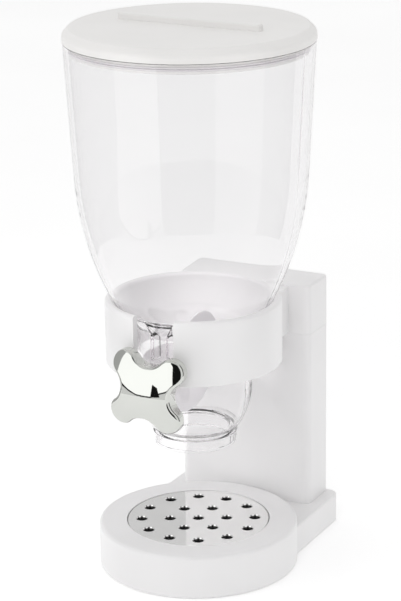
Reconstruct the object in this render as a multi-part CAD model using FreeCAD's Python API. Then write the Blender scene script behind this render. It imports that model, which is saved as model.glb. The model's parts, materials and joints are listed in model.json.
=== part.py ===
"""Cereal dispenser: a clear canister with a paddle wheel, hung in a white ring stand.

The stand is a round base with a crumb tray, a hollow column and a ring bracket.
Millimetres, +Z up.  Each sub-part is drawn about the canister's axis (x = y = 0),
with the front at -Y, then moved so that the origin is at the bottom centre of the
whole dispenser's box.
"""
import FreeCAD, Part
import math
import os

V = FreeCAD.Vector
UP = V(0, 0, 1)
FORWARD = V(0, -1, 0)

# ---- Stand: base ----
WALL = 2.5                  # general wall of the white mouldings
FIT = 0.3                   # gap between pieces that lift apart
SOFT_EDGE = 0.5             # broken edges of the mouldings
HOUSING_BOTTOM = 0.8        # the rubber feet stand this far below the housing
DISC_RADIUS = 71.8
DISC_CENTRE_Y = 2.5         # the disc sits a little behind the canister's axis
DISC_TOP = 32.1
DISC_EDGE_RADIUS = 2.6
PLINTH_HALF_WIDTH = 62.4
PLINTH_BACK = 115.2
PLINTH_TOP = 22.1
PLINTH_CORNER_RADIUS = 8.5
PLINTH_EDGE_RADIUS = 1.4
WELL_RADIUS = 51.8          # the round well that holds the crumb tray
WELL_FLOOR = 13.3
PLATE_BOTTOM = 1.2
PLATE_TOP = 3.4
INSERT_GAP = 0.1            # between mouldings that fit one inside the other and are screwed
FOOT_RADIUS = 7.0
FOOT_HEIGHT = 2.2
FOOT_PLACES = {"front_left": (-40, -42), "front_right": (40, -42),
               "rear_left": (-50, 90), "rear_right": (50, 90)}
PLATE_SCREW_PLACES = ((0, -59.3), (-61.7, 2.5), (61.7, 2.5), (-46, 105), (46, 105))
PLATE_SCREW_LENGTH = 11.0
BOSS_RADIUS = 4.0
SCREW_RADIUS = 1.5
HEAD_RADIUS = 2.9
HEAD_HEIGHT = 1.5
CROSS_LENGTH = 3.0          # cross recess in a screw's head
CROSS_WIDTH = 0.7
CROSS_DEPTH = 0.9

# ---- Crumb tray and grille ----
TRAY_RIM_RADIUS = 51.2
TRAY_RADIUS = 50.2
TRAY_WALL = 1.8
TRAY_CORNER_RADIUS = 3.2    # round the tray's floor, outside
GRILLE_RADIUS = 51.2
GRILLE_THICKNESS = 1.0
GRILLE_TOP = 31.7
HOLE_RADIUS = 3.3
DIMPLE_RADIUS = 4.4
DIMPLE_DEPTH = 1.7
DIMPLE_SKIRT = 0.8          # thickness of the pressed metal round a dimple
HOLE_RINGS = ((0.0, 1, 0.0), (20.5, 6, 30.0), (41.0, 12, 0.0))  # radius, count, first angle
GRILLE_TURN = -3.0          # degrees; the round grille is put back at any angle

# ---- Stand: column and ring bracket ----
COLUMN_HALF_WIDTH = 52.9
COLUMN_FRONT = 79.2
COLUMN_BACK = 114.7
COLUMN_CORNER_RADIUS = 5.2
COLUMN_SCREW_INSET = 5.4
COLUMN_SCREW_LENGTH = 14.0
COLUMN_BOSS_TOP = 52.0
SEAM_Z = 155.2              # underside of the ring, the arm and the column's cap
CAP_TOP = 192.6
CAP_EDGE_RADIUS = 1.8
SEAM_EDGE_RADIUS = 0.35     # the two mouldings that meet at the seam leave a fine groove
SPIGOT_BOTTOM = 146.0
SPIGOT_TOP = 161.0
SPIGOT_WALL = 2.0
BRACKET_SCREW_X = 28.0
BRACKET_SCREW_Z = 150.6
BRACKET_SCREW_LENGTH = 9.0
BRACKET_BOSS_DEPTH = 9.0
ARM_HALF_WIDTH = 36.5
ARM_TOP = 190.6
ARM_EDGE_RADIUS = 1.0
RING_RADIUS = 62.5
RING_INNER_RADIUS = 56.7
RING_TOP = 201.5
RING_EDGE_RADIUS = 2.4
NOTCH_HALF_WIDTH = 15.5

# ---- Canister ----
CANISTER_WALL = 2.2
RIM_TOP = 384.6
RIM_RADIUS = 86.8
HOPPER_BEND = (78.8, 242.2)  # radius and height where the hopper's sides would meet without an arc
HOPPER_ARC = 220.0
CONE_TOP = (54.5, 196.2)    # start of the steep cone that rests in the ring
BOWL_RADIUS = 40.8
BOWL_TOP = 182.5
BOWL_BEND = 119.4           # height where the bowl's wall would meet its belly without an arc
BELLY_ARC = 51.0
BELLY_FOOT = (31.1, 106.0)
CONE_ARC = 6.0
FOOT_ARC = 1.2
NECK_RADIUS = 27.0
NECK_TOP = 104.6
NECK_BOTTOM = 95.2
MOUTH_ARC = 0.8
COLLAR_BOTTOM = 93.8
COLLAR_TOP = 102.8
COLLAR_BOTTOM_RADIUS = 29.0
COLLAR_TOP_RADIUS = 30.2
KEY_HALF_WIDTH = 6.6        # the hollow key that stands in the ring's notch
KEY_TOP_HALF_WIDTH = 13.6
KEY_FRONT = -51.8
KEY_TOP_FRONT = -53.3
KEY_BACK = -30.0            # inside the canister's wall, where the key grows out of it
KEY_BOTTOM = 168.8
KEY_SHOULDER = 187.6
KEY_TOP = 201.5
KEY_WALL = 1.8

# ---- Lid ----
LID_BOTTOM = 385.0
LID_TOP = 394.6
LID_RADIUS = 87.2
LID_TOP_RADIUS = 82.4
LID_EDGE = 390.2            # height where the lid's side turns in
LID_DRAFT = 0.3             # the side leans in by this much below its turn
LID_SIDE_ARC = 4.0
LID_TOP_ARC = 2.0
LID_WALL = 2.4
PLUG_RADIUS = 82.2
PLUG_BOTTOM = 377.5
PLUG_WALL = 2.2
SEAL_RADIUS = 83.8
SEAL_BOTTOM = 379.4
SEAL_HEIGHT = 3.0
SEAL_GROOVE_DEPTH = 1.0
SEAL_RIB = 0.7              # distance from the seal's edge to the crest of each rib
GRIP_LENGTH = 111.0
GRIP_WIDTH = 6.0
GRIP_TOP = 399.2
GRIP_END_RADIUS = 2.0
GRIP_EDGE_RADIUS = 1.2
LID_TURN = -1.7             # degrees; the round lid is put back at any angle

# ---- Knob and paddle wheel, on one shaft along Y ----
SHAFT_Z = 152.9
SHAFT_RADIUS = 5.0
SHAFT_FRONT = -73.0
SHAFT_KEY_SIDE = 7.0
SHAFT_KEY_FRONT = -37.0
SHAFT_KEY_BACK = 37.4
SHAFT_TIP_RADIUS = 3.0
SHAFT_TIP_BACK = 43.6
RUNNING_CLEARANCE = 0.05
SLEEVE_RADIUS = 8.6
SLEEVE_FRONT = -58.6
BUSH_RADIUS = 6.6
BUSH_FLANGE = 1.4
BUSH_BACK = -38.2
SOCKET_RADIUS = 5.6
SOCKET_BACK = 46.4
SHAFT_END_PLAY = 0.4
HUB_RADIUS = 8.4
HUB_HALF_LENGTH = 35.4
VANE_COUNT = 4
VANE_RADIUS = 37.2          # the vanes sweep a ball of this radius inside the bowl
VANE_HALF_LENGTH = 33.0
VANE_ROOT = 2.6
VANE_TIP = 1.6
VANE_SLEEVE_RADIUS = 10.2
KNOB_TURN = -5.0            # degrees, where the knob was left
LOBE_COUNT = 4
LOBE_RADIUS = 9.7
LOBE_DISTANCE = 24.6
VALLEY_REACH = 19.0         # from the knob's centre to the bottom of each valley
KNOB_BACK = -65.0
KNOB_RIM_FRONT = -72.0
KNOB_DOME_FRONT = -77.8
KNOB_EDGE_RADIUS = 2.0
KNOB_WALL = 2.4
KNOB_HUB_RADIUS = 8.0

# The whole dispenser runs from the lid's front to the plinth's back.
AXIS_Y = -(PLINTH_BACK - LID_RADIUS) / 2


# ---- Helpers: profiles ----
def corner_arc(before, corner, after, radius):
    """Start, middle and end of the fillet of a given radius at a corner."""
    to_before = (before - corner).normalize()
    to_after = (after - corner).normalize()
    half_angle = to_before.getAngle(to_after) / 2
    reach = radius / math.tan(half_angle)
    bisector = (to_before + to_after).normalize()
    middle = corner + bisector * (radius / math.sin(half_angle) - radius)
    return corner + to_before * reach, middle, corner + to_after * reach


def rounded_wire(corners):
    """Closed wire in the XZ plane through (r, z) or (r, z, fillet radius) corners."""
    points = [V(c[0], 0, c[1]) for c in corners]
    edges = []
    ends = []
    for i, corner in enumerate(points):
        radius = corners[i][2] if len(corners[i]) > 2 else 0
        if radius:
            following = points[(i + 1) % len(points)]
            first, middle, last = corner_arc(points[i - 1], corner, following, radius)
            edges.append(Part.Arc(first, middle, last).toShape())
            ends.append((first, last))
        else:
            ends.append((corner, corner))
    for i, (_, last) in enumerate(ends):
        first = ends[(i + 1) % len(ends)][0]
        if last.distanceToPoint(first) > 1e-6:
            edges.append(Part.LineSegment(last, first).toShape())
    return Part.Wire(Part.__sortEdges__(edges))


def revolved(corners):
    """Solid of revolution about Z of a rounded profile."""
    return Part.Face(rounded_wire(corners)).revolve(V(), UP, 360)


def inset_path(corners, distance):
    """A path of (r, z, fillet radius) corners, run downwards, moved towards the axis."""
    moved = []
    for i, (r, z, radius) in enumerate(corners):
        normals = []
        for a, b in ((i - 1, i), (i, i + 1)):
            if a >= 0 and b < len(corners):
                run = V(corners[b][0] - corners[a][0], 0, corners[b][1] - corners[a][1]).normalize()
                normals.append(V(run.z, 0, -run.x))
        bisector = V(normals[0] + normals[-1]).normalize()
        here = V(r, 0, z) + bisector * (distance / bisector.dot(normals[0]))
        if radius:
            bulges_out = normals[0].cross(normals[-1]).y < 0
            radius = radius - distance if bulges_out else radius + distance
        moved.append((here.x, here.z, radius))
    return moved


# ---- Helpers: solids ----
def upright(radius, z0, z1, x=0.0, y=0.0):
    return Part.makeCylinder(radius, z1 - z0, V(x, y, z0))


def along_y(radius, y0, y1, x=0.0, z=SHAFT_Z):
    return Part.makeCylinder(radius, y1 - y0, V(x, y0, z), V(0, 1, 0))


def block(half_width, y0, y1, z0, z1):
    return Part.makeBox(2 * half_width, y1 - y0, z1 - z0, V(-half_width, y0, z0))


def filleted(shape, radius, chosen):
    """The shape with a fillet on every edge that the test picks."""
    return shape.makeFillet(radius, [edge for edge in shape.Edges if chosen(edge.BoundBox)])


def is_upright(box):
    return box.XLength < 1e-6 and box.YLength < 1e-6


def is_level_at(box, z):
    return box.ZLength < 1e-6 and abs(box.ZMin - z) < 1e-6


def flat_screw(at, length, direction):
    """Countersunk screw: its head's face at a point, its shank along a direction."""
    head = Part.makeCone(HEAD_RADIUS, SCREW_RADIUS, HEAD_HEIGHT, at, direction)
    shank = Part.makeCylinder(SCREW_RADIUS, length, at, direction)
    half_length = CROSS_LENGTH / 2
    half_width = CROSS_WIDTH / 2
    recess = block(half_length, -half_width, half_width, 0, CROSS_DEPTH)
    recess = recess.fuse(block(half_width, -half_length, half_length, 0, CROSS_DEPTH))
    recess.Placement = FreeCAD.Placement(at, FreeCAD.Rotation(UP, direction))
    return head.fuse(shank).cut(recess)


def screw_hole(at, depth, direction):
    """The countersunk hole that a flat screw needs."""
    head = Part.makeCone(HEAD_RADIUS, SCREW_RADIUS, HEAD_HEIGHT, at, direction)
    return head.fuse(Part.makeCylinder(SCREW_RADIUS, depth, at, direction))


# ---- Stand: base ----
def base_outline(inset, z0, disc_z1, plinth_z1):
    """The disc and the plinth as two solids, drawn in by an inset all round."""
    disc = upright(DISC_RADIUS - inset, z0, disc_z1, 0, DISC_CENTRE_Y)
    plinth = block(PLINTH_HALF_WIDTH - inset, DISC_CENTRE_Y, PLINTH_BACK - inset, z0, plinth_z1)
    plinth = filleted(plinth, PLINTH_CORNER_RADIUS - inset,
                      lambda box: is_upright(box) and box.YMin > DISC_CENTRE_Y + 1)
    return disc, plinth


def column_screw_places():
    x = COLUMN_HALF_WIDTH - COLUMN_SCREW_INSET
    rows = (COLUMN_FRONT + COLUMN_SCREW_INSET, COLUMN_BACK - COLUMN_SCREW_INSET)
    return [(side * x, y) for side in (-1, 1) for y in rows]


def make_base_housing():
    disc = revolved(((0, HOUSING_BOTTOM), (DISC_RADIUS, HOUSING_BOTTOM, SOFT_EDGE),
                     (DISC_RADIUS, DISC_TOP, DISC_EDGE_RADIUS), (0, DISC_TOP)))
    disc.translate(V(0, DISC_CENTRE_Y, 0))
    plinth = base_outline(0, HOUSING_BOTTOM, DISC_TOP, PLINTH_TOP)[1]
    plinth = filleted(plinth, PLINTH_EDGE_RADIUS,
                      lambda box: is_level_at(box, PLINTH_TOP) and box.YMax > DISC_CENTRE_Y + 1)
    disc_cavity, plinth_cavity = base_outline(WALL, 0, DISC_TOP - WALL, PLINTH_TOP - WALL)
    cavity = disc_cavity.fuse(plinth_cavity)
    cavity = cavity.cut(upright(WELL_RADIUS + WALL, WELL_FLOOR - WALL, DISC_TOP, 0, DISC_CENTRE_Y))
    for x, y in PLATE_SCREW_PLACES:
        cavity = cavity.cut(upright(BOSS_RADIUS, PLATE_TOP, DISC_TOP, x, y))
    housing = disc.fuse(plinth).cut(cavity)
    housing = housing.cut(upright(WELL_RADIUS, WELL_FLOOR, DISC_TOP + 1, 0, DISC_CENTRE_Y))
    for x, y in PLATE_SCREW_PLACES:
        housing = housing.cut(upright(SCREW_RADIUS, PLATE_BOTTOM, PLATE_BOTTOM + PLATE_SCREW_LENGTH, x, y))
    for x, y in column_screw_places():
        housing = housing.cut(screw_hole(V(x, y, PLINTH_TOP - WALL), WALL, UP))
    return housing.removeSplitter()


def make_base_bottom_plate():
    disc, plinth = base_outline(WALL + INSERT_GAP, PLATE_BOTTOM, PLATE_TOP, PLATE_TOP)
    plate = disc.fuse(plinth)
    for x, y in FOOT_PLACES.values():
        plate = plate.cut(upright(FOOT_RADIUS, 0, FOOT_HEIGHT, x, y))
    for x, y in PLATE_SCREW_PLACES:
        plate = plate.cut(screw_hole(V(x, y, PLATE_BOTTOM), PLATE_TOP - PLATE_BOTTOM, UP))
    return plate.removeSplitter()


def make_foot(place):
    foot = revolved(((0, 0), (FOOT_RADIUS, 0, SOFT_EDGE), (FOOT_RADIUS, FOOT_HEIGHT), (0, FOOT_HEIGHT)))
    foot.translate(V(*FOOT_PLACES[place], 0))
    return foot


def make_base_plate_screws():
    places = [V(x, y, PLATE_BOTTOM) for x, y in PLATE_SCREW_PLACES]
    return Part.makeCompound([flat_screw(at, PLATE_SCREW_LENGTH, UP) for at in places])


# ---- Crumb tray and grille ----
def make_crumb_tray():
    floor = WELL_FLOOR + FIT
    rim_top = GRILLE_TOP - GRILLE_THICKNESS - FIT
    rim_bottom = rim_top - TRAY_WALL
    inner = TRAY_RADIUS - TRAY_WALL
    inner_corner = TRAY_CORNER_RADIUS - TRAY_WALL
    tray = revolved(((0, floor), (TRAY_RADIUS, floor, TRAY_CORNER_RADIUS), (TRAY_RADIUS, rim_bottom),
                     (TRAY_RIM_RADIUS, rim_bottom), (TRAY_RIM_RADIUS, rim_top), (inner, rim_top),
                     (inner, floor + TRAY_WALL, inner_corner), (0, floor + TRAY_WALL)))
    tray.translate(V(0, DISC_CENTRE_Y, 0))
    return tray


def make_crumb_grille():
    """Pressed steel disc; each hole is at the bottom of a small dimple."""
    under = GRILLE_TOP - GRILLE_THICKNESS
    lip = GRILLE_TOP - DIMPLE_DEPTH
    edge = GRILLE_THICKNESS / 3
    grille = revolved(((0, under), (GRILLE_RADIUS, under, edge),
                       (GRILLE_RADIUS, GRILLE_TOP, edge), (0, GRILLE_TOP)))
    for ring_radius, count, first_angle in HOLE_RINGS:
        for i in range(count):
            angle = math.radians(first_angle + 360.0 * i / count)
            at = V(ring_radius * math.cos(angle), ring_radius * math.sin(angle), lip)
            skirt = Part.makeCone(HOLE_RADIUS + DIMPLE_SKIRT, DIMPLE_RADIUS + DIMPLE_SKIRT, DIMPLE_DEPTH, at)
            skirt = skirt.cut(upright(GRILLE_RADIUS, GRILLE_TOP - edge, GRILLE_TOP + edge))
            dimple = Part.makeCone(HOLE_RADIUS, DIMPLE_RADIUS, DIMPLE_DEPTH, at)
            grille = grille.fuse(skirt).cut(dimple)
    grille.rotate(V(), UP, GRILLE_TURN)
    grille.translate(V(0, DISC_CENTRE_Y, 0))
    return grille


# ---- Stand: column and ring bracket ----
def column_outline(inset, z0, z1):
    slab = block(COLUMN_HALF_WIDTH - inset, COLUMN_FRONT + inset, COLUMN_BACK - inset, z0, z1)
    return filleted(slab, COLUMN_CORNER_RADIUS - inset, is_upright)


def bracket_screw_places():
    return [V(x, COLUMN_BACK, BRACKET_SCREW_Z) for x in (-BRACKET_SCREW_X, BRACKET_SCREW_X)]


def make_column_body():
    cavity = column_outline(WALL, PLINTH_TOP, SEAM_Z)
    for x, y in column_screw_places():
        cavity = cavity.cut(upright(BOSS_RADIUS, PLINTH_TOP, COLUMN_BOSS_TOP, x, y))
    column = column_outline(0, PLINTH_TOP, SEAM_Z)
    column = filleted(column, SEAM_EDGE_RADIUS, lambda box: is_level_at(box, SEAM_Z))
    column = column.cut(cavity)
    for x, y in column_screw_places():
        column = column.cut(upright(SCREW_RADIUS, PLINTH_TOP, PLINTH_TOP + COLUMN_SCREW_LENGTH, x, y))
    for at in bracket_screw_places():
        column = column.cut(screw_hole(at, WALL, FORWARD))
    return column.removeSplitter()


def make_column_screws():
    """Driven up through the plinth's deck into the column's bosses."""
    places = [V(x, y, PLINTH_TOP - WALL) for x, y in column_screw_places()]
    return Part.makeCompound([flat_screw(at, COLUMN_SCREW_LENGTH, UP) for at in places])


def make_ring_bracket():
    """Ring, arm and the column's cap in one moulding, with a spigot down into the column."""
    cap = filleted(column_outline(0, SEAM_Z, CAP_TOP), CAP_EDGE_RADIUS, lambda box: is_level_at(box, CAP_TOP))
    cap = filleted(cap, SEAM_EDGE_RADIUS, lambda box: is_level_at(box, SEAM_Z))
    arm = filleted(block(ARM_HALF_WIDTH, 0, COLUMN_FRONT + WALL, SEAM_Z, ARM_TOP), ARM_EDGE_RADIUS,
                   lambda box: is_level_at(box, ARM_TOP) and box.XLength < 1e-6)
    pocket = block(ARM_HALF_WIDTH - WALL, 0, COLUMN_FRONT, SEAM_Z, ARM_TOP - WALL).cut(
        upright(RING_RADIUS, SEAM_Z, ARM_TOP))
    ring = revolved(((RING_INNER_RADIUS, SEAM_Z), (RING_RADIUS, SEAM_Z, SOFT_EDGE),
                     (RING_RADIUS, RING_TOP, RING_EDGE_RADIUS),
                     (RING_INNER_RADIUS, RING_TOP, RING_EDGE_RADIUS)))
    arm = arm.cut(pocket).cut(upright(RING_INNER_RADIUS + 1, SEAM_Z - 1, RING_TOP))
    spigot_inset = WALL + INSERT_GAP
    spigot = column_outline(spigot_inset, SPIGOT_BOTTOM, SPIGOT_TOP)
    hollow = column_outline(spigot_inset + SPIGOT_WALL, SPIGOT_BOTTOM, SPIGOT_TOP)
    spigot_back = COLUMN_BACK - spigot_inset
    for at in bracket_screw_places():
        hollow = hollow.cut(along_y(BOSS_RADIUS, spigot_back - BRACKET_BOSS_DEPTH, spigot_back, at.x, at.z))
    hollow = hollow.fuse(column_outline(WALL, SPIGOT_TOP, CAP_TOP - WALL))
    bracket = cap.fuse(spigot).fuse(arm).cut(hollow).fuse(ring)
    bracket = bracket.cut(block(NOTCH_HALF_WIDTH, -RING_RADIUS - WALL, 0, SEAM_Z, RING_TOP))
    for at in bracket_screw_places():
        screw = along_y(SCREW_RADIUS, COLUMN_BACK - BRACKET_SCREW_LENGTH, COLUMN_BACK, at.x, at.z)
        bracket = bracket.cut(screw)
    return bracket.removeSplitter()


def make_bracket_screws():
    """Driven forward through the column's back wall into the spigot."""
    return Part.makeCompound([flat_screw(at, BRACKET_SCREW_LENGTH, FORWARD) for at in bracket_screw_places()])


# ---- Canister ----
def canister_path():
    """The canister's outer profile from rim to neck, as (r, z, fillet radius) corners."""
    return [(RIM_RADIUS, RIM_TOP, 0), (*HOPPER_BEND, HOPPER_ARC), (*CONE_TOP, CONE_ARC),
            (BOWL_RADIUS, BOWL_TOP, CONE_ARC), (BOWL_RADIUS, BOWL_BEND, BELLY_ARC), (*BELLY_FOOT, FOOT_ARC),
            (NECK_RADIUS, NECK_TOP, 0)]


def key_solid(inset, bottom):
    """The key in the ring's notch: sloping shoulders above a straight flat-fronted box."""
    def level(half_width, front, z):
        corners = [V(-half_width, front, z), V(half_width, front, z),
                   V(half_width, KEY_BACK, z), V(-half_width, KEY_BACK, z)]
        return Part.makePolygon(corners + corners[:1])
    foot = level(KEY_HALF_WIDTH - inset, KEY_FRONT + inset, bottom)
    shoulder = level(KEY_HALF_WIDTH - inset, KEY_FRONT + inset, KEY_SHOULDER - inset)
    top = level(KEY_TOP_HALF_WIDTH - inset, KEY_TOP_FRONT + inset, KEY_TOP - inset)
    return Part.makeLoft([foot, shoulder], True, True).fuse(Part.makeLoft([shoulder, top], True, True))


def make_canister():
    outer = canister_path()
    inner = inset_path(outer, CANISTER_WALL)
    neck_inner = NECK_RADIUS - CANISTER_WALL
    floor = inner[-1][1]
    inside = [(neck_inner, NECK_BOTTOM, 0), (neck_inner, floor, MOUTH_ARC)] + inner[-2::-1]
    shell = revolved(outer + [(NECK_RADIUS, NECK_BOTTOM, 0)] + inside)
    space = revolved([(0, NECK_BOTTOM, 0)] + inside + [(0, RIM_TOP, 0)])
    key = key_solid(0, KEY_BOTTOM).cut(key_solid(KEY_WALL, KEY_BOTTOM))
    sleeve = along_y(SLEEVE_RADIUS, SLEEVE_FRONT, KEY_BACK)
    socket = along_y(SOCKET_RADIUS, 0, SOCKET_BACK)
    canister = shell.fuse(key.fuse(sleeve).fuse(socket).cut(space))
    canister = canister.cut(along_y(BUSH_RADIUS, SLEEVE_FRONT, -HUB_HALF_LENGTH))
    tip_hole = SHAFT_TIP_RADIUS + RUNNING_CLEARANCE
    return canister.cut(along_y(tip_hole, HUB_HALF_LENGTH, SHAFT_TIP_BACK + SHAFT_END_PLAY)).removeSplitter()


def make_outlet_collar():
    """Clear ring pushed onto the canister's neck."""
    return revolved(((NECK_RADIUS, COLLAR_BOTTOM), (COLLAR_BOTTOM_RADIUS, COLLAR_BOTTOM, SOFT_EDGE),
                     (COLLAR_TOP_RADIUS, COLLAR_TOP, SOFT_EDGE), (NECK_RADIUS, COLLAR_TOP)))


# ---- Lid ----
def make_lid():
    """Shallow cap with a skirt, a plug ring inside the canister and a straight grip bar."""
    under = LID_TOP - LID_WALL
    plug_inner = PLUG_RADIUS - PLUG_WALL
    groove = PLUG_RADIUS - SEAL_GROOVE_DEPTH
    seal_top = SEAL_BOTTOM + SEAL_HEIGHT
    lid = revolved(((0, under), (plug_inner, under, SOFT_EDGE), (plug_inner, PLUG_BOTTOM),
                    (PLUG_RADIUS, PLUG_BOTTOM, SOFT_EDGE), (PLUG_RADIUS, SEAL_BOTTOM), (groove, SEAL_BOTTOM),
                    (groove, seal_top), (PLUG_RADIUS, seal_top), (PLUG_RADIUS, LID_BOTTOM),
                    (LID_RADIUS, LID_BOTTOM, SOFT_EDGE), (LID_RADIUS - LID_DRAFT, LID_EDGE, LID_SIDE_ARC),
                    (LID_TOP_RADIUS, LID_TOP, LID_TOP_ARC), (0, LID_TOP)))
    bar = block(GRIP_LENGTH / 2, -GRIP_WIDTH / 2, GRIP_WIDTH / 2, under, GRIP_TOP)
    bar = filleted(bar, GRIP_END_RADIUS, is_upright)
    bar = filleted(bar, GRIP_EDGE_RADIUS, lambda box: is_level_at(box, GRIP_TOP))
    lid = lid.fuse(bar)
    lid.rotate(V(), UP, LID_TURN)
    return lid


def make_lid_seal():
    """Ribbed silicone ring in the plug's groove."""
    groove = PLUG_RADIUS - SEAL_GROOVE_DEPTH
    top = SEAL_BOTTOM + SEAL_HEIGHT
    middle = SEAL_BOTTOM + SEAL_HEIGHT / 2
    crest_arc = SEAL_RIB / 2
    return revolved(((groove, SEAL_BOTTOM), (PLUG_RADIUS, SEAL_BOTTOM),
                     (SEAL_RADIUS, SEAL_BOTTOM + SEAL_RIB, crest_arc), (PLUG_RADIUS, middle),
                     (SEAL_RADIUS, top - SEAL_RIB, crest_arc), (PLUG_RADIUS, top), (groove, top)))


# ---- Knob and paddle wheel ----
def square_bar(side, y0, y1):
    return Part.makeBox(side, y1 - y0, side, V(-side / 2, y0, SHAFT_Z - side / 2))


def turned(shape):
    """Turned about the shaft's axis to where the knob was left."""
    shape.rotate(V(0, 0, SHAFT_Z), FORWARD, KNOB_TURN)
    return shape


def make_knob_shaft():
    journal = along_y(SHAFT_RADIUS, SHAFT_FRONT, SHAFT_KEY_FRONT)
    key = square_bar(SHAFT_KEY_SIDE, SHAFT_KEY_FRONT, SHAFT_KEY_BACK)
    key = filleted(key, SOFT_EDGE, lambda box: box.YLength > SHAFT_KEY_SIDE)
    tip = along_y(SHAFT_TIP_RADIUS, SHAFT_KEY_BACK, SHAFT_TIP_BACK)
    return turned(journal.fuse(key).fuse(tip))


def make_shaft_bush():
    """Flanged bush pressed into the canister's front sleeve."""
    bore = SHAFT_RADIUS + RUNNING_CLEARANCE
    front = SLEEVE_FRONT - BUSH_FLANGE
    bush = along_y(SLEEVE_RADIUS, front, SLEEVE_FRONT).fuse(along_y(BUSH_RADIUS, SLEEVE_FRONT, BUSH_BACK))
    return bush.cut(along_y(bore, front, BUSH_BACK))


def make_paddle_hub():
    hub = along_y(HUB_RADIUS, -HUB_HALF_LENGTH, HUB_HALF_LENGTH)
    bore_side = SHAFT_KEY_SIDE + 2 * RUNNING_CLEARANCE
    return turned(hub.cut(square_bar(bore_side, -HUB_HALF_LENGTH, HUB_HALF_LENGTH)))


def make_paddle_vanes():
    """One silicone moulding: a sleeve over the hub and four tapering vanes."""
    start = -VANE_HALF_LENGTH
    corners = [V(-VANE_ROOT / 2, start, 0), V(VANE_ROOT / 2, start, 0),
               V(VANE_TIP / 2, start, VANE_RADIUS), V(-VANE_TIP / 2, start, VANE_RADIUS)]
    vane = Part.Face(Part.makePolygon(corners + corners[:1])).extrude(V(0, 2 * VANE_HALF_LENGTH, 0))
    vane.translate(V(0, 0, SHAFT_Z))
    vanes = along_y(VANE_SLEEVE_RADIUS, -VANE_HALF_LENGTH, VANE_HALF_LENGTH)
    for i in range(VANE_COUNT):
        copy = vane.copy()
        copy.rotate(V(0, 0, SHAFT_Z), V(0, 1, 0), 360.0 * i / VANE_COUNT)
        vanes = vanes.fuse(copy)
    vanes = vanes.common(Part.makeSphere(VANE_RADIUS, V(0, 0, SHAFT_Z)))
    return turned(vanes.cut(along_y(HUB_RADIUS, -VANE_HALF_LENGTH, VANE_HALF_LENGTH)))


def clover_face(inset, y):
    """Four round lobes joined by hollow valleys, drawn in by an inset, facing -Y."""
    lobe = LOBE_RADIUS - inset
    # The valley's arc touches both neighbouring lobes and passes VALLEY_REACH from the centre.
    half_pitch = math.pi / LOBE_COUNT
    across = LOBE_DISTANCE * math.sin(half_pitch)
    along = LOBE_DISTANCE * math.cos(half_pitch)
    lead = VALLEY_REACH - along
    valley = (across ** 2 + lead ** 2 - LOBE_RADIUS ** 2) / (2 * (LOBE_RADIUS - lead))
    valley_centre = VALLEY_REACH + valley
    valley = valley + inset

    def point(radius, angle):
        return V(radius * math.cos(angle), y, SHAFT_Z + radius * math.sin(angle))

    edges = []
    for i in range(LOBE_COUNT):
        middle_angle = half_pitch * (2 * i + 1)
        lobe_centre = point(LOBE_DISTANCE, middle_angle)
        joints = []
        for side in (-1, 1):
            towards = (point(valley_centre, middle_angle + side * half_pitch) - lobe_centre).normalize()
            joints.append(lobe_centre + towards * lobe)
        edges.append(Part.Arc(joints[0], point(LOBE_DISTANCE + lobe, middle_angle), joints[1]).toShape())
        next_angle = middle_angle + half_pitch
        next_lobe = point(LOBE_DISTANCE, middle_angle + 2 * half_pitch)
        towards = (point(valley_centre, next_angle) - next_lobe).normalize()
        valley_middle = point(valley_centre - valley, next_angle)
        edges.append(Part.Arc(joints[1], valley_middle, next_lobe + towards * lobe).toShape())
    return Part.Face(Part.Wire(Part.__sortEdges__(edges)))


def make_knob():
    """Hollow clover knob with a domed front; the shaft is pressed into its hub."""
    dome_rise = KNOB_RIM_FRONT - KNOB_DOME_FRONT
    reach = LOBE_DISTANCE + LOBE_RADIUS
    dome_radius = (reach ** 2 + dome_rise ** 2) / (2 * dome_rise)
    dome_centre = V(0, KNOB_DOME_FRONT + dome_radius, SHAFT_Z)
    depth = V(0, KNOB_DOME_FRONT - KNOB_BACK, 0)
    front = clover_face(0, KNOB_BACK).extrude(depth).common(Part.makeSphere(dome_radius, dome_centre))
    front = filleted(front, KNOB_EDGE_RADIUS, lambda box: box.YMax < (KNOB_BACK + KNOB_RIM_FRONT) / 2)
    hollow = clover_face(KNOB_WALL, KNOB_BACK).extrude(depth)
    hollow = hollow.common(Part.makeSphere(dome_radius - KNOB_WALL, dome_centre))
    hollow = hollow.cut(along_y(KNOB_HUB_RADIUS, KNOB_DOME_FRONT, KNOB_BACK))
    knob = front.cut(hollow).cut(along_y(SHAFT_RADIUS, SHAFT_FRONT, KNOB_BACK))
    return turned(knob)


MAKERS = {
    "base_housing": make_base_housing,
    "base_bottom_plate": make_base_bottom_plate,
    "base_plate_screws": make_base_plate_screws,
    "crumb_tray": make_crumb_tray,
    "crumb_grille": make_crumb_grille,
    "column_body": make_column_body,
    "column_screws": make_column_screws,
    "ring_bracket": make_ring_bracket,
    "bracket_screws": make_bracket_screws,
    "canister": make_canister,
    "outlet_collar": make_outlet_collar,
    "lid": make_lid,
    "lid_seal": make_lid_seal,
    "knob": make_knob,
    "knob_shaft": make_knob_shaft,
    "shaft_bush": make_shaft_bush,
    "paddle_hub": make_paddle_hub,
    "paddle_vanes": make_paddle_vanes,
}

for place in FOOT_PLACES:
    MAKERS["foot_" + place] = lambda place=place: make_foot(place)

os.makedirs("parts", exist_ok=True)
for node, make in MAKERS.items():
    shape = make()
    shape.translate(V(0, AXIS_Y, 0))
    shape.exportStep("parts/" + node + ".step")
    print(f"{node:18s} {len(shape.Solids)} solids, valid {shape.isValid()}, {shape.Volume / 1000:.2f} cm3")
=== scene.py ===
"""Cereal dispenser: materials, fine pieces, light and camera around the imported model.

Metres, +Z up, front at -Y, in the frame of the CAD model.
"""
import json
import math

import bmesh
import bpy
from mathutils import Matrix, Vector


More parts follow.
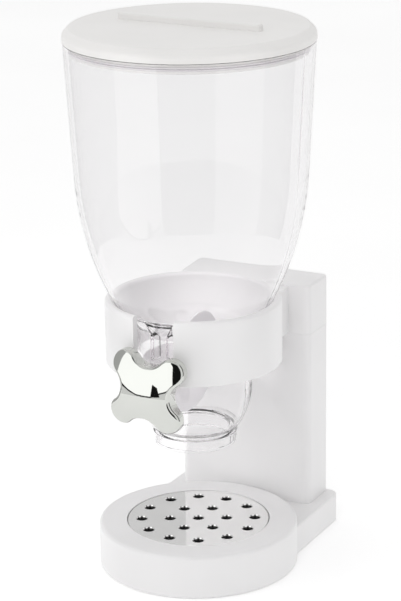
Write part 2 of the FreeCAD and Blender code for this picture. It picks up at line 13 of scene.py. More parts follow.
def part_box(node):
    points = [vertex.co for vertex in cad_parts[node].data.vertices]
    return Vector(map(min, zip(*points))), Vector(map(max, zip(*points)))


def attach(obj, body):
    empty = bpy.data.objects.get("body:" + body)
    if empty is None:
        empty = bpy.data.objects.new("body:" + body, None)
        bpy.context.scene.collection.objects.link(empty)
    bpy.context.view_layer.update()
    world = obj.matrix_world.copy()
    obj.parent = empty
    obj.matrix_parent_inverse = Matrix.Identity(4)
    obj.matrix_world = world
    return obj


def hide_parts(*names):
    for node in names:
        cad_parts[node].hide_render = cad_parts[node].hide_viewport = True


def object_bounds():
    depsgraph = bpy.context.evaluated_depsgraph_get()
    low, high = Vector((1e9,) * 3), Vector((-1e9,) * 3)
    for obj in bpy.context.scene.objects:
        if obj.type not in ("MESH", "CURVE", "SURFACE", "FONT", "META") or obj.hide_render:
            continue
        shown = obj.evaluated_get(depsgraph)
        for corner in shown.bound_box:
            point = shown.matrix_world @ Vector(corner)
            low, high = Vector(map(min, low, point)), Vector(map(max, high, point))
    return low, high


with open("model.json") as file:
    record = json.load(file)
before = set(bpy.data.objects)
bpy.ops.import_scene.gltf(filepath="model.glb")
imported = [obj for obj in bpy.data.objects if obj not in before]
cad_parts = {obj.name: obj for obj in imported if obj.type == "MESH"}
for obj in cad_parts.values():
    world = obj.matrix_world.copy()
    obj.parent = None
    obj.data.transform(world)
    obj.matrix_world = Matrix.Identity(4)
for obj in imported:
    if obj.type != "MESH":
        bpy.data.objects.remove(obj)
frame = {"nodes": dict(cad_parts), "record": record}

CAD_BOX = [list(corner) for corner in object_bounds()]
NODES = frame["nodes"]
SCENE = bpy.context.scene

# ---- Places, all from the frame ----
LID_LOW, LID_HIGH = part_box("lid")
AXIS_Y = (LID_LOW.y + LID_HIGH.y) / 2
TOP_Z = CAD_BOX[1][2]
COLUMN_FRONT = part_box("column_body")[0].y

# A material reads heights from its piece's own origin
CANISTER_BASE = NODES["canister"].matrix_world.translation.z
GRILLE_BASE = NODES["crumb_grille"].matrix_world.translation.z
GRILLE_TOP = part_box("crumb_grille")[1].z - GRILLE_BASE


# ---- Node helpers ----
TONES_FROM, TONES_TO = 0.35, 0.65   # the part of a noise's range in which two tones blend


def new_material(name):
    """A material, its nodes and links, and its shader."""
    made = bpy.data.materials.new(name)
    made.use_nodes = True
    return made, made.node_tree.nodes, made.node_tree.links, made.node_tree.nodes["Principled BSDF"]


def object_noise(nodes, links, scale, detail=2.0):
    """Noise in the object's own space, so it rides with the piece."""
    coordinates = nodes.new("ShaderNodeTexCoord")
    noise = nodes.new("ShaderNodeTexNoise")
    noise.inputs["Scale"].default_value = scale
    noise.inputs["Detail"].default_value = detail
    links.new(coordinates.outputs["Object"], noise.inputs["Vector"])
    return noise


def object_height(nodes, links):
    """Height in the object's own space."""
    coordinates = nodes.new("ShaderNodeTexCoord")
    place = nodes.new("ShaderNodeSeparateXYZ")
    links.new(coordinates.outputs["Object"], place.inputs["Vector"])
    return place.outputs["Z"]


def two_tones(nodes, links, factor, dark, light):
    """A ramp from one colour to another, driven by a noise."""
    ramp = nodes.new("ShaderNodeValToRGB")
    ramp.color_ramp.elements[0].position = TONES_FROM
    ramp.color_ramp.elements[1].position = TONES_TO
    ramp.color_ramp.elements[0].color = (*dark, 1)
    ramp.color_ramp.elements[1].color = (*light, 1)
    links.new(factor, ramp.inputs["Fac"])
    return ramp.outputs["Color"]


def spread(nodes, links, value, low, high, start=0.0, end=1.0):
    """A value that goes from low to high as another goes from start to end."""
    mapped = nodes.new("ShaderNodeMapRange")
    mapped.inputs["From Min"].default_value = start
    mapped.inputs["From Max"].default_value = end
    mapped.inputs["To Min"].default_value = low
    mapped.inputs["To Max"].default_value = high
    links.new(value, mapped.inputs["Value"])
    return mapped.outputs["Result"]


def add_bump(nodes, links, shader, height, distance, strength):
    """A surface grain too fine for geometry."""
    bump = nodes.new("ShaderNodeBump")
    bump.inputs["Distance"].default_value = distance
    bump.inputs["Strength"].default_value = strength
    links.new(height, bump.inputs["Height"])
    links.new(bump.outputs["Normal"], shader.inputs["Normal"])


def show_surface(nodes, links, seen, other, rays):
    """Show one surface, but let the given kinds of ray meet another one."""
    path = nodes.new("ShaderNodeLightPath")
    for ray in rays:
        choice = nodes.new("ShaderNodeMixShader")
        links.new(path.outputs[ray], choice.inputs["Fac"])
        links.new(seen, choice.inputs[1])
        links.new(other, choice.inputs[2])
        seen = choice.outputs["Shader"]
    links.new(seen, nodes["Material Output"].inputs["Surface"])


# ---- Materials; a noise's scale is in patches per metre ----
PLASTIC_IOR = 1.5
PLASTIC_CLOUD_SCALE = 14.0
PLASTIC_GLOSS_SCALE = 60.0
GRAIN_STRENGTH = 0.35
CLEAR_IOR = 1.46
RIPPLE_SCALE = 35.0
RIPPLE_ROUGHNESS = (0.0, 0.02)
RIPPLE_DEPTH = 0.0004
RIPPLE_STRENGTH = 0.05
METAL_CLOUD_SCALE = 20.0


def moulded_plastic(name, dark, light, roughness, grain=900.0, grain_depth=0.00002):
    """Opaque moulded plastic: faint cloudiness, uneven gloss and a fine surface grain."""
    made, nodes, links, shader = new_material(name)
    cloud = object_noise(nodes, links, PLASTIC_CLOUD_SCALE)
    tones = two_tones(nodes, links, cloud.outputs["Fac"], dark, light)
    links.new(tones, shader.inputs["Base Color"])
    gloss = object_noise(nodes, links, PLASTIC_GLOSS_SCALE)
    links.new(spread(nodes, links, gloss.outputs["Fac"], *roughness), shader.inputs["Roughness"])
    fine = object_noise(nodes, links, grain, detail=1.0)
    add_bump(nodes, links, shader, fine.outputs["Fac"], grain_depth, GRAIN_STRENGTH)
    shader.inputs["IOR"].default_value = PLASTIC_IOR
    return made


def clear_plastic(name, tint, density, greying):
    """Clear moulded plastic with a slight flow ripple and a faint body colour.

    greying is the height it starts at, the height it ends at, and how clear the plastic is there.
    Lamps and bounced light pass straight through, so what it holds isn't left dark.
    """
    made, nodes, links, shader = new_material(name)
    start, end, clearness = greying
    share = spread(nodes, links, object_height(nodes, links), 1.0, clearness, start, end)
    grey = nodes.new("ShaderNodeCombineColor")
    for channel in ("Red", "Green", "Blue"):
        links.new(share, grey.inputs[channel])
    links.new(grey.outputs["Color"], shader.inputs["Base Color"])
    shader.inputs["Transmission Weight"].default_value = 1.0
    shader.inputs["IOR"].default_value = CLEAR_IOR
    ripple = object_noise(nodes, links, RIPPLE_SCALE).outputs["Fac"]
    links.new(spread(nodes, links, ripple, *RIPPLE_ROUGHNESS), shader.inputs["Roughness"])
    add_bump(nodes, links, shader, ripple, RIPPLE_DEPTH, RIPPLE_STRENGTH)
    open_way = nodes.new("ShaderNodeBsdfTransparent")
    open_way.inputs["Color"].default_value = (1, 1, 1, 1)
    show_surface(nodes, links, shader.outputs["BSDF"], open_way.outputs["BSDF"],
                 ("Is Shadow Ray", "Is Diffuse Ray"))
    absorb = nodes.new("ShaderNodeVolumeAbsorption")
    absorb.inputs["Color"].default_value = (*tint, 1)
    absorb.inputs["Density"].default_value = density
    links.new(absorb.outputs["Volume"], nodes["Material Output"].inputs["Volume"])
    return made


def bright_metal(name, dark, light, roughness, scratch_scale, metallic=1.0, hole_shade=None):
    """Polished metal or plating with hairline wear in its gloss.

    hole_shade, when given, is painted shade: the height where the colour starts to darken,
    the height below which it is fully dark, and that dark colour. Bounced light meets the
    metal as a matt surface, which throws it back evenly.
    """
    made, nodes, links, shader = new_material(name)
    shader.inputs["Metallic"].default_value = metallic
    cloud = object_noise(nodes, links, METAL_CLOUD_SCALE)
    tones = two_tones(nodes, links, cloud.outputs["Fac"], dark, light)
    # Painted shade: the colour goes dark below a height, standing in for the shade inside the
    # punched holes
    if hole_shade:
        shade_start, shade_full, shade_colour = hole_shade
        unshaded_share = spread(nodes, links, object_height(nodes, links), 0.0, 1.0, shade_full, shade_start)
        blend = nodes.new("ShaderNodeMix")
        blend.data_type = "RGBA"
        links.new(unshaded_share, blend.inputs["Factor"])
        blend.inputs["A"].default_value = (*shade_colour, 1)
        links.new(tones, blend.inputs["B"])
        tones = blend.outputs["Result"]
    links.new(tones, shader.inputs["Base Color"])
    matt = nodes.new("ShaderNodeBsdfDiffuse")
    links.new(tones, matt.inputs["Color"])
    show_surface(nodes, links, shader.outputs["BSDF"], matt.outputs["BSDF"], ("Is Diffuse Ray",))
    hair = object_noise(nodes, links, scratch_scale, detail=4.0)
    links.new(spread(nodes, links, hair.outputs["Fac"], *roughness), shader.inputs["Roughness"])
    return made


# The canister's wall is clearest round its outlet and a little greyer up in the hopper
CLEAR_BELOW = 0.19 - CANISTER_BASE
GREY_ABOVE = 0.24 - CANISTER_BASE
HOPPER_CLEARNESS = 0.955

# Painted shade: the grille's steel darkens from a little way down each punched dimple, so its holes
# look shaded inside; the lower part of its outer edge darkens too
HOLE_SHADE_START = GRILLE_TOP - 0.0006
HOLE_SHADE_FULL = GRILLE_TOP - 0.0009
HOLE_SHADE_COLOUR = (0.035, 0.034, 0.033)

WHITE = moulded_plastic("white_moulding", (0.845, 0.838, 0.841), (0.875, 0.868, 0.871),
                        roughness=(0.30, 0.38))
LID_WHITE = moulded_plastic("lid_moulding", (0.845, 0.834, 0.821), (0.875, 0.864, 0.851),
                            roughness=(0.36, 0.44))
# This moulding is made dark grey so that the grille's holes show black: painted shade
UNDER_GREY_PAINTED_SHADE = moulded_plastic("textured_moulding", (0.085, 0.085, 0.088), (0.12, 0.12, 0.123),
                             roughness=(0.5, 0.6), grain=500.0, grain_depth=0.00006)
CLEAR = clear_plastic("clear_moulding", tint=(0.60, 0.45, 0.58), density=9.0,
                      greying=(CLEAR_BELOW, GREY_ABOVE, HOPPER_CLEARNESS))
CHROME = bright_metal("chrome_plating", (0.64, 0.65, 0.62), (0.68, 0.69, 0.66),
                      roughness=(0.015, 0.04), scratch_scale=400.0)
# The steel's dark hole walls are painted shade
STEEL = bright_metal("polished_steel", (0.86, 0.855, 0.85), (0.92, 0.915, 0.91),
                     roughness=(0.05, 0.10), scratch_scale=700.0, metallic=0.82,
                     hole_shade=(HOLE_SHADE_START, HOLE_SHADE_FULL, HOLE_SHADE_COLOUR))
ACETAL = moulded_plastic("acetal", (0.72, 0.72, 0.70), (0.78, 0.78, 0.76),
                         roughness=(0.40, 0.48))
SILICONE = moulded_plastic("silicone", (0.82, 0.80, 0.82), (0.86, 0.84, 0.86),
                           roughness=(0.45, 0.6))
RUBBER = moulded_plastic("foot_rubber", (0.045, 0.045, 0.048), (0.07, 0.07, 0.073),
                         roughness=(0.6, 0.75), grain=700.0, grain_depth=0.00008)
ZINC = bright_metal("zinc_plating", (0.45, 0.45, 0.46), (0.56, 0.56, 0.57),
                    roughness=(0.25, 0.38), scratch_scale=900.0)

LOOKS = {
    "white_plastic": WHITE,
    "lid_plastic": LID_WHITE,
    "base_plate_plastic": UNDER_GREY_PAINTED_SHADE,
    "clear_plastic": CLEAR,
    "chrome_plating": CHROME,
    "polished_steel": STEEL,
    "shaft_plastic": ACETAL,
    "vane_silicone": SILICONE,
    "foot_rubber": RUBBER,
    "screw_steel": ZINC,
}


def paint(piece, look):
    """Give a new piece its one material."""
    piece.data.materials.clear()
    piece.data.materials.append(look)


def paint_nodes():
    """Give every CAD node the material of its slot."""
    for entry in frame["record"]["subparts"]:
        for place in NODES[entry["node"]].material_slots:
            place.material = LOOKS[entry["material_slot"]]


# ---- Fine pieces, made of rings of points ----
def add_shell(shape, rings, loop=False):
    """Faces through rings of equally many points; a ring of one point closes an end."""
    rows = [[shape.verts.new(point) for point in ring] for ring in rings]
    following_rows = rows[1:] + rows[:1] if loop else rows[1:]
    for row, following in zip(rows, following_rows):
        count = max(len(row), len(following))
        for i in range(count):
            j = (i + 1) % count
            around = (row[i % len(row)], row[j % len(row)],
                      following[j % len(following)], following[i % len(following)])
            shape.faces.new([corner for k, corner in enumerate(around) if corner not in around[:k]])


def ring_piece(name, shells, sharp_degrees=38.0):
    """A smooth-shaded piece of one or more shells, each a pair of rings and loop."""
    shape = bmesh.new()
    for rings, loop in shells:
        add_shell(shape, rings, loop)
    bmesh.ops.recalc_face_normals(shape, faces=shape.faces)
    mesh = bpy.data.meshes.new(name)
    shape.to_mesh(mesh)
    shape.free()
    mesh.polygons.foreach_set("use_smooth", [True] * len(mesh.polygons))
    mesh.set_sharp_from_angle(angle=math.radians(sharp_degrees))
    piece = bpy.data.objects.new(name, mesh)
    SCENE.collection.objects.link(piece)
    return piece


def quarter(steps):
    """Sine and cosine of the steps of a quarter turn."""
    angles = [math.pi / 2 * k / steps for k in range(steps + 1)]
    return [(math.sin(angle), math.cos(angle)) for angle in angles]


def whole_turn(count):
    """Evenly spaced angles, all the way round."""
    return [2 * math.pi * k / count for k in range(count)]


def middle_of(ring):
    """A ring of one point, in the middle of another ring."""
    return [sum(ring, Vector()) / len(ring)]


SHAFT_LOW, SHAFT_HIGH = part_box("knob_shaft")
SHAFT_Z = (SHAFT_LOW.z + SHAFT_HIGH.z) / 2
TURN = math.radians(5.0)        # the knob and the vanes were left turned by this much


def on_shaft(across, height, y):
    """A point across from and above the shaft's axis, turned as the knob is."""
    cos_t, sin_t = math.cos(TURN), math.sin(TURN)
    return Vector((across * cos_t + height * sin_t, y, SHAFT_Z + height * cos_t - across * sin_t))


# The knob: a hollow clover with a domed, soft-edged front
KNOB_LOW, KNOB_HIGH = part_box("knob")
LOBES = 4
LOBE_RADIUS = 0.0097
LOBE_DISTANCE = 0.0246
VALLEY_REACH = 0.0190
LOBE_POINTS = 44
VALLEY_POINTS = 26
KNOB_DOME_RADIUS = 0.1043
KNOB_EDGE = 0.0022
KNOB_BACK_EDGE = 0.0005
KNOB_WALL = 0.0024
KNOB_INNER_EDGE = KNOB_EDGE / 2
KNOB_HUB_RADIUS = 0.008
KNOB_BORE_RADIUS = 0.00503
KNOB_BORE_DEPTH = 0.0081
KNOB_FACE_RINGS = 30
KNOB_EDGE_STEPS = 9
KNOB_BACK_EDGE_STEPS = 3
KNOB_INNER_EDGE_STEPS = 4
KNOB_INSIDE_RINGS = 8


def clover():
    """Points of the knob's outline, each with its direction out, in the plane across the shaft."""
    half_pitch = math.pi / LOBES
    across = LOBE_DISTANCE * math.sin(half_pitch)
    lead = VALLEY_REACH - LOBE_DISTANCE * math.cos(half_pitch)
    valley = (across ** 2 + lead ** 2 - LOBE_RADIUS ** 2) / (2 * (LOBE_RADIUS - lead))
    valley_distance = VALLEY_REACH + valley
    joint = math.atan2(valley_distance * math.sin(half_pitch),
                       valley_distance * math.cos(half_pitch) - LOBE_DISTANCE)
    outline = []
    for i in range(LOBES):
        lobe_way, valley_way = half_pitch * (2 * i + 1), half_pitch * (2 * i + 2)
        for middle, distance, reach, turn, count in (
                (lobe_way, LOBE_DISTANCE, LOBE_RADIUS, -joint, LOBE_POINTS),
                (valley_way, valley_distance, -valley, joint - half_pitch, VALLEY_POINTS)):
            centre = Vector((math.cos(middle), math.sin(middle))) * distance
            for k in range(count):
                angle = middle + turn * (1 - 2 * k / count)
                out = Vector((math.cos(angle), math.sin(angle)))
                outline.append((centre + out * reach, out))
    return outline


def make_knob():
    """The knob, from its front round the edge to the hollow back, the hub and the hub's bore."""
    outline = clover()
    front, back = KNOB_LOW.y, KNOB_HIGH.y

    def inside_edge(inset):
        return [at - out * inset for at, out in outline]

    def circle(radius):
        return [at.normalized() * radius for at, _ in outline]

    def behind_face(flats, depth):
        drops = [math.sqrt(KNOB_DOME_RADIUS ** 2 - flat.length_squared) for flat in flats]
        return [on_shaft(flat.x, flat.y, front + KNOB_DOME_RADIUS - drop + depth)
                for flat, drop in zip(flats, drops)]

    def before_back(flats, depth=0.0):
        return [on_shaft(flat.x, flat.y, back - depth) for flat in flats]

    rings = [[on_shaft(0, 0, front)]]
    face = inside_edge(KNOB_EDGE)
    for k in range(1, KNOB_FACE_RINGS):
        share = k / KNOB_FACE_RINGS
        rings.append(behind_face([flat * share for flat in face], 0.0))
    for sine, cosine in quarter(KNOB_EDGE_STEPS):
        rings.append(behind_face(inside_edge(KNOB_EDGE * (1 - sine)), KNOB_EDGE * (1 - cosine)))
    for sine, cosine in quarter(KNOB_BACK_EDGE_STEPS):
        rings.append(before_back(inside_edge(KNOB_BACK_EDGE * (1 - cosine)),
                                 KNOB_BACK_EDGE * (1 - sine)))
    rings.append(before_back(inside_edge(KNOB_WALL)))
    for sine, cosine in quarter(KNOB_INNER_EDGE_STEPS):
        rings.append(behind_face(inside_edge(KNOB_WALL + KNOB_INNER_EDGE * (1 - cosine)),
                                 KNOB_WALL + KNOB_INNER_EDGE * (1 - sine)))
    inside = inside_edge(KNOB_WALL + KNOB_INNER_EDGE)
    hub = circle(KNOB_HUB_RADIUS)
    for k in range(1, KNOB_INSIDE_RINGS):
        share = k / KNOB_INSIDE_RINGS
        flats = [flat.lerp(end, share) for flat, end in zip(inside, hub)]
        rings.append(behind_face(flats, KNOB_WALL))
    rings.append(behind_face(hub, KNOB_WALL))
    rings.append(before_back(hub))
    rings.append(before_back(circle(KNOB_BORE_RADIUS)))
    rings.append(before_back(circle(KNOB_BORE_RADIUS), KNOB_BORE_DEPTH))
    rings.append([on_shaft(0, 0, back - KNOB_BORE_DEPTH)])
    knob = ring_piece("clover_knob", [(rings, False)])
    paint(knob, CHROME)
    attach(knob, "knob")
    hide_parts("knob")


# The paddle's vanes: one silicone moulding with soft edges
VANES_LOW, VANES_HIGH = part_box("paddle_vanes")
VANES = 4
VANE_REACH = 0.0372             # they sweep a ball of this radius
VANE_ROOT_HALF = 0.0013
VANE_TIP_HALF = 0.0008
VANE_END_EDGE = VANE_TIP_HALF * 0.7
VANE_FOOT = 0.0092              # where a vane starts, inside the sleeve
VANE_SIDE_STEPS = 6
VANE_TIP_STEPS = 10
VANE_END_STEPS = 4
VANE_LENGTH_STEPS = 20
SLEEVE_RADIUS = 0.0102
SLEEVE_BORE = 0.00845
SLEEVE_EDGE = 0.0006
SLEEVE_EDGE_STEPS = 5
SLEEVE_POINTS = 96


def make_vanes():
    """The vanes and the sleeve that holds them together round the hub."""
    middle_y = (VANES_LOW.y + VANES_HIGH.y) / 2
    half_length = (VANES_HIGH.y - VANES_LOW.y) / 2

    def vane_ring(turn, along, inset):
        tip_half = VANE_TIP_HALF - inset
        top = math.sqrt(VANE_REACH ** 2 - along ** 2) - inset - tip_half
        side = []
        for k in range(VANE_SIDE_STEPS):
            share = k / VANE_SIDE_STEPS
            side.append((VANE_ROOT_HALF - inset + share * (VANE_TIP_HALF - VANE_ROOT_HALF),
                         VANE_FOOT + share * (top - VANE_FOOT)))
        over = [math.pi * k / VANE_TIP_STEPS for k in range(VANE_TIP_STEPS + 1)]
        tip = [(tip_half * math.cos(angle), top + tip_half * math.sin(angle)) for angle in over]
        section = side + tip + [(-w, h) for w, h in reversed(side)]
        cos_v, sin_v = math.cos(turn), math.sin(turn)
        return [on_shaft(w * cos_v + h * sin_v, h * cos_v - w * sin_v, middle_y + along)
                for w, h in section]

    def sleeve_ring(radius, along):
        return [on_shaft(radius * math.cos(angle), radius * math.sin(angle), middle_y + along)
                for angle in whole_turn(SLEEVE_POINTS)]

    soft_end = [(-half_length + VANE_END_EDGE * (1 - cosine), VANE_END_EDGE * (1 - sine))
                for sine, cosine in quarter(VANE_END_STEPS)]
    inner = half_length - VANE_TIP_HALF
    stations = soft_end + [(-inner + 2 * inner * k / VANE_LENGTH_STEPS, 0.0)
                           for k in range(1, VANE_LENGTH_STEPS)]
    stations += [(-along, inset) for along, inset in reversed(soft_end)]
    shells = []
    for turn in whole_turn(VANES):
        rings = [vane_ring(turn, along, inset) for along, inset in stations]
        shells.append(([middle_of(rings[0]), *rings, middle_of(rings[-1])], False))

    profile = [(SLEEVE_BORE, -half_length)]
    profile += [(SLEEVE_RADIUS - SLEEVE_EDGE * (1 - sine),
                 -half_length + SLEEVE_EDGE * (1 - cosine))
                for sine, cosine in quarter(SLEEVE_EDGE_STEPS)]
    profile += [(radius, -along) for radius, along in reversed(profile)]
    shells.append(([sleeve_ring(radius, along) for radius, along in profile], True))
    vanes = ring_piece("vane_moulding", shells)
    paint(vanes, SILICONE)
    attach(vanes, "paddle")
    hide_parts("paddle_vanes")


# The lid's seal: a silicone ring whose two soft ribs meet the canister's wall
SEAL_LOW, SEAL_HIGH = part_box("lid_seal")
SEAL_CENTRE_Y = (SEAL_LOW.y + SEAL_HIGH.y) / 2
SEAL_RADIUS = (SEAL_HIGH.x - SEAL_LOW.x) / 2
SEAL_RIB_REACH = 0.0016
SEAL_GROOVE_DEPTH = 0.0010
SEAL_RIBS = 2
SEAL_RIB_SHARPNESS = 0.7        # under 1 makes round crests with narrow valleys
SEAL_STEPS = 32
SEAL_POINTS = 240


def make_seal():
    """The seal, as one profile swept round the lid."""
    crown = SEAL_RADIUS - SEAL_RIB_REACH
    height = SEAL_HIGH.z - SEAL_LOW.z
    profile = [(crown - SEAL_GROOVE_DEPTH, SEAL_LOW.z)]
    for k in range(SEAL_STEPS + 1):
        swell = abs(math.sin(math.pi * SEAL_RIBS * k / SEAL_STEPS)) ** SEAL_RIB_SHARPNESS
        profile.append((crown + SEAL_RIB_REACH * swell, SEAL_LOW.z + height * k / SEAL_STEPS))
    profile.append((crown - SEAL_GROOVE_DEPTH, SEAL_HIGH.z))
    angles = whole_turn(SEAL_POINTS)
    rings = [[Vector((radius * math.cos(a), SEAL_CENTRE_Y + radius * math.sin(a), z))
              for a in angles] for radius, z in profile]
    seal = ring_piece("seal_moulding", [(rings, True)])
    paint(seal, SILICONE)
    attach(seal, "lid")
    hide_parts("lid_seal")


# ---- Stage: pale floor, soft studio light and the cards that shiny surfaces mirror ----
# Azimuth 0 is the dispenser's front, positive to its right, in degrees
MIDDLE = Vector((0, AXIS_Y, TOP_Z / 2))
FLOOR_SIDE = 12.0
FLOOR_TONES = ((0.93, 0.93, 0.93), (0.95, 0.95, 0.95))
FLOOR_CLOUD_SCALE = 3.0
FLOOR_ROUGHNESS = 0.8
FLOOR_SHINE = 0.1
FLOOR_GLOW = 0.235              # a light table, so the floor stays white under soft light


def mesh_object(name, points, faces):
    """An object of flat faces."""
    mesh = bpy.data.meshes.new(name)
    mesh.from_pydata(points, [], faces)
    made = bpy.data.objects.new(name, mesh)
    SCENE.collection.objects.link(made)
    return made


def make_floor():
    """White paper, lit from below too."""
    half = FLOOR_SIDE / 2
    corners = [(-half, -half, 0), (half, -half, 0), (half, half, 0), (-half, half, 0)]
    floor = mesh_object("floor", corners, [(0, 1, 2, 3)])
    look, nodes, links, shader = new_material("floor_paper")
    cloud = object_noise(nodes, links, FLOOR_CLOUD_SCALE)
    tones = two_tones(nodes, links, cloud.outputs["Fac"], *FLOOR_TONES)
    links.new(tones, shader.inputs["Base Color"])
    shader.inputs["Roughness"].default_value = FLOOR_ROUGHNESS
    shader.inputs["Specular IOR Level"].default_value = FLOOR_SHINE
    shader.inputs["Emission Color"].default_value = (1, 1, 1, 1)
    shader.inputs["Emission Strength"].default_value = FLOOR_GLOW
    paint(floor, look)


WORLD_BACK = 0.86
WORLD_FRONT = 0.43
WORLD_WAY = (-0.42, 0.91, 0)    # towards the world's bright side
WORLD_FADE = (-0.8, -0.1)       # where along that way the world starts to brighten, and is bright


def make_world():
    """White all round, dimmer towards the front and the right."""
    world = bpy.data.worlds.new("studio")
    SCENE.world = world
    world.use_nodes = True
    nodes, links = world.node_tree.nodes, world.node_tree.links
    background = nodes["Background"]
    background.inputs["Color"].default_value = (1, 1, 1, 1)
    coordinates = nodes.new("ShaderNodeTexCoord")
    along = nodes.new("ShaderNodeVectorMath")
    along.operation = "DOT_PRODUCT"
    along.inputs[1].default_value = WORLD_WAY
    links.new(coordinates.outputs["Generated"], along.inputs[0])
    strength = spread(nodes, links, along.outputs["Value"], WORLD_FRONT, WORLD_BACK, *WORLD_FADE)
    links.new(strength, background.inputs["Strength"])


CARD_RADIUS = 0.45
CARD_LOW = 0.02
CARD_TOP = 0.65
CARD_FACET_DEGREES = 4
CARD_STEP = 0.006               # between cards that stand one behind another

# The left softbox's outline as azimuth, lower edge and upper edge, and the dark gap under it
LEFT_OUTLINE = ((-44.5, 0.085, 0.111), (-41.5, 0.065, 0.177), (-38.9, 0.050, 0.217),
                (-38.4, 0.047, CARD_TOP), (-35.6, 0.033, CARD_TOP), (-29.7, 0.014, CARD_TOP),
                (-23.0, 0.010, CARD_TOP), (-17.5, 0.012, CARD_TOP), (-9.7, 0.041, CARD_TOP),
                (-5.4, 0.053, CARD_TOP), (-1.7, 0.073, CARD_TOP), (0.4, 0.090, CARD_TOP))
GAPS = (0.022, 0.018, 0.014, 0.013, 0.011, 0.009, 0.008, 0.009, 0.009, 0.009, 0.010, 0.010)
WEDGE = ((-17.5, 0.010, 0.013), (-14.9, 0.011, 0.087), (-11.4, 0.014, 0.071),
         (-10.1, 0.015, 0.017))

# Behind the left of the column, where the steel grille mirrors it
GRILLE_CARD_RADIUS = 0.20
GRILLE_CARD_LOW, GRILLE_CARD_TOP = 0.05, 0.185

LEFT_STRENGTH = 1.45
RIGHT_STRENGTH = 0.95
TABLE = 0.85
GRILLE_GREY = 0.61
LEFT_SIDE_GREY = 0.5
RIGHT_SIDE_GREY = 0.15
DARK = 0.01


def glow(name, strength):
    """An even white emission."""
    look = bpy.data.materials.new(name)
    look.use_nodes = True
    nodes, links = look.node_tree.nodes, look.node_tree.links
    nodes.remove(nodes["Principled BSDF"])
    lamp = nodes.new("ShaderNodeEmission")
    lamp.inputs["Color"].default_value = (1, 1, 1, 1)
    lamp.inputs["Strength"].default_value = strength
    links.new(lamp.outputs["Emission"], nodes["Material Output"].inputs["Surface"])
    return look


def card(name, edge, strength, radius=CARD_RADIUS):
    """A curved card round the dispenser that only mirrors see; edge has (azimuth, low, high)."""
    points = []
    for azimuth, low, high in edge:
        turn = math.radians(azimuth)
        x, y = radius * math.sin(turn), AXIS_Y - radius * math.cos(turn)
        points += [(x, y, low), (x, y, high)]
    faces = [(2 * i, 2 * i + 2, 2 * i + 3, 2 * i + 1) for i in range(len(edge) - 1)]
    made = mesh_object(name, points, faces)
    paint(made, glow(name, strength))
    made.visible_camera = False
    made.visible_diffuse = False
    made.visible_transmission = False
    made.visible_shadow = False


def level_card(name, first, last, strength, low=CARD_LOW, high=CARD_TOP, radius=CARD_RADIUS):
    """A card with level edges, from its first azimuth to its last."""
    steps = max(2, round(abs(last - first) / CARD_FACET_DEGREES))
    edge = [(first + (last - first) * k / steps, low, high) for k in range(steps + 1)]
    card(name, edge, strength, radius)


def make_cards():
    """The softboxes, the table and the dark of the studio, as the shiny surfaces mirror them."""
    gapped = list(zip(LEFT_OUTLINE, GAPS))
    card("softbox_card_left", LEFT_OUTLINE, LEFT_STRENGTH)
    card("gap_card", [(azimuth, low - gap, low) for (azimuth, low, _), gap in gapped], DARK)
    card("table_card", [(azimuth, 0.0, low - gap) for (azimuth, low, _), gap in gapped], TABLE)
    card("wedge_card", WEDGE, DARK, CARD_RADIUS - CARD_STEP)
    level_card("side_card_left", -105, -36, LEFT_SIDE_GREY, radius=CARD_RADIUS + CARD_STEP)
    level_card("dark_card", 0.4, 48.4, DARK)
    level_card("softbox_card_right", 48.4, 92.6, RIGHT_STRENGTH)
    level_card("side_card_right", 92.6, 130, RIGHT_SIDE_GREY)
    level_card("grille_card", -165, -120, GRILLE_GREY, GRILLE_CARD_LOW, GRILLE_CARD_TOP,
               GRILLE_CARD_RADIUS)


COLUMN_FOOT = Vector((-0.02, COLUMN_FRONT, 0.045))
RING_INSIDE = Vector((-0.020, COLUMN_FRONT - 0.010, 0.160))


def way_out(azimuth, elevation):
    """The direction out from the dispenser at an azimuth and an elevation in radians."""
    level = math.cos(elevation)
    return Vector((math.sin(azimuth) * level, -math.cos(azimuth) * level, math.sin(elevation)))


def add_lamp(name, kind, azimuth, elevation, distance, target, power):
    """A lamp that faces a target and is never seen or mirrored itself."""
    way = way_out(math.radians(azimuth), math.radians(elevation))
    data = bpy.data.lights.new(name, kind)
    data.energy = power
    light = bpy.data.objects.new(name, data)
    light.location = target + way * distance
    light.rotation_euler = (-way).to_track_quat("-Z", "Y").to_euler()
    light.visible_glossy = False
    light.visible_transmission = False
    light.visible_camera = False
    SCENE.collection.objects.link(light)
    return data


def softbox(name, azimuth, elevation, distance, width, height, power):
    """A broad lamp that faces the dispenser's middle."""
    data = add_lamp(name, "AREA", azimuth, elevation, distance, MIDDLE, power)
    data.shape = "RECTANGLE"
    data.size = width
    data.size_y = height


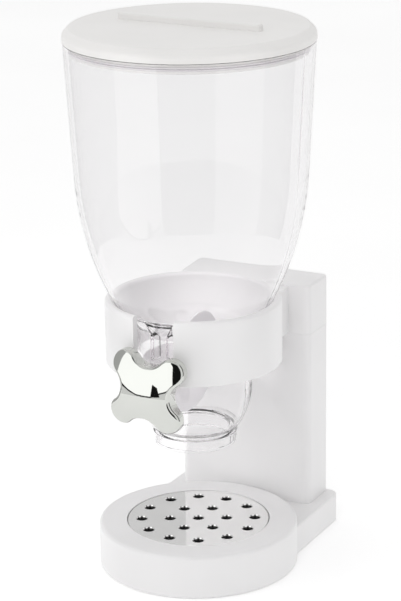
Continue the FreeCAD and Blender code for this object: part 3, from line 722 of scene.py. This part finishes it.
def snooted_lamp(name, azimuth, elevation, distance, target, beam_degrees, softness, power):
    """A narrow lamp that lifts one shaded place."""
    data = add_lamp(name, "SPOT", azimuth, elevation, distance, target, power)
    data.spot_size = math.radians(beam_degrees)
    data.spot_blend = 1.0
    data.shadow_soft_size = softness


def make_lamps():
    """Two softboxes, and a narrow lamp each for the column's foot and the ring's inside."""
    softbox("softbox_left", -40, 34, distance=1.5, width=0.8, height=1.2, power=1.6)
    softbox("softbox_front", 14, 34, distance=1.9, width=0.9, height=0.9, power=6.0)
    snooted_lamp("column_fill", -24, 20, distance=1.2, target=COLUMN_FOOT,
                 beam_degrees=7.0, softness=0.04, power=13.0)
    snooted_lamp("ring_fill", 10, 36, distance=1.3, target=RING_INSIDE,
                 beam_degrees=5.5, softness=0.02, power=27.0)


# ---- Camera ----
AZIMUTH = math.radians(27.39)
ELEVATION = math.radians(17.61)
ROLL = math.radians(-0.83)
DISTANCE = 1.6367
AIM = Vector((0, AXIS_Y, 0.200))
OFF_AXIS = (0.00497, -0.00203)  # how far the camera is right of, and above, the line to AIM
LENS = 139.26
CLIP_START = 0.05


def make_camera():
    """The camera, turned about its own line of sight by ROLL."""
    back = way_out(AZIMUTH, ELEVATION)
    right = Vector((math.cos(AZIMUTH), math.sin(AZIMUTH), 0))
    up = back.cross(right)
    data = bpy.data.cameras.new("camera")
    data.lens = LENS
    data.clip_start = CLIP_START
    camera = bpy.data.objects.new("camera", data)
    turned_right = right * math.cos(ROLL) + up * math.sin(ROLL)
    turned_up = up * math.cos(ROLL) - right * math.sin(ROLL)
    axes = Matrix((turned_right, turned_up, back)).transposed().to_4x4()
    place = AIM + back * DISTANCE + right * OFF_AXIS[0] + up * OFF_AXIS[1]
    camera.matrix_world = Matrix.Translation(place) @ axes
    SCENE.collection.objects.link(camera)
    SCENE.camera = camera


paint_nodes()
make_knob()
make_vanes()
make_seal()
make_floor()
make_world()
make_cards()
make_lamps()
make_camera()
SCENE.view_settings.view_transform = "Standard"
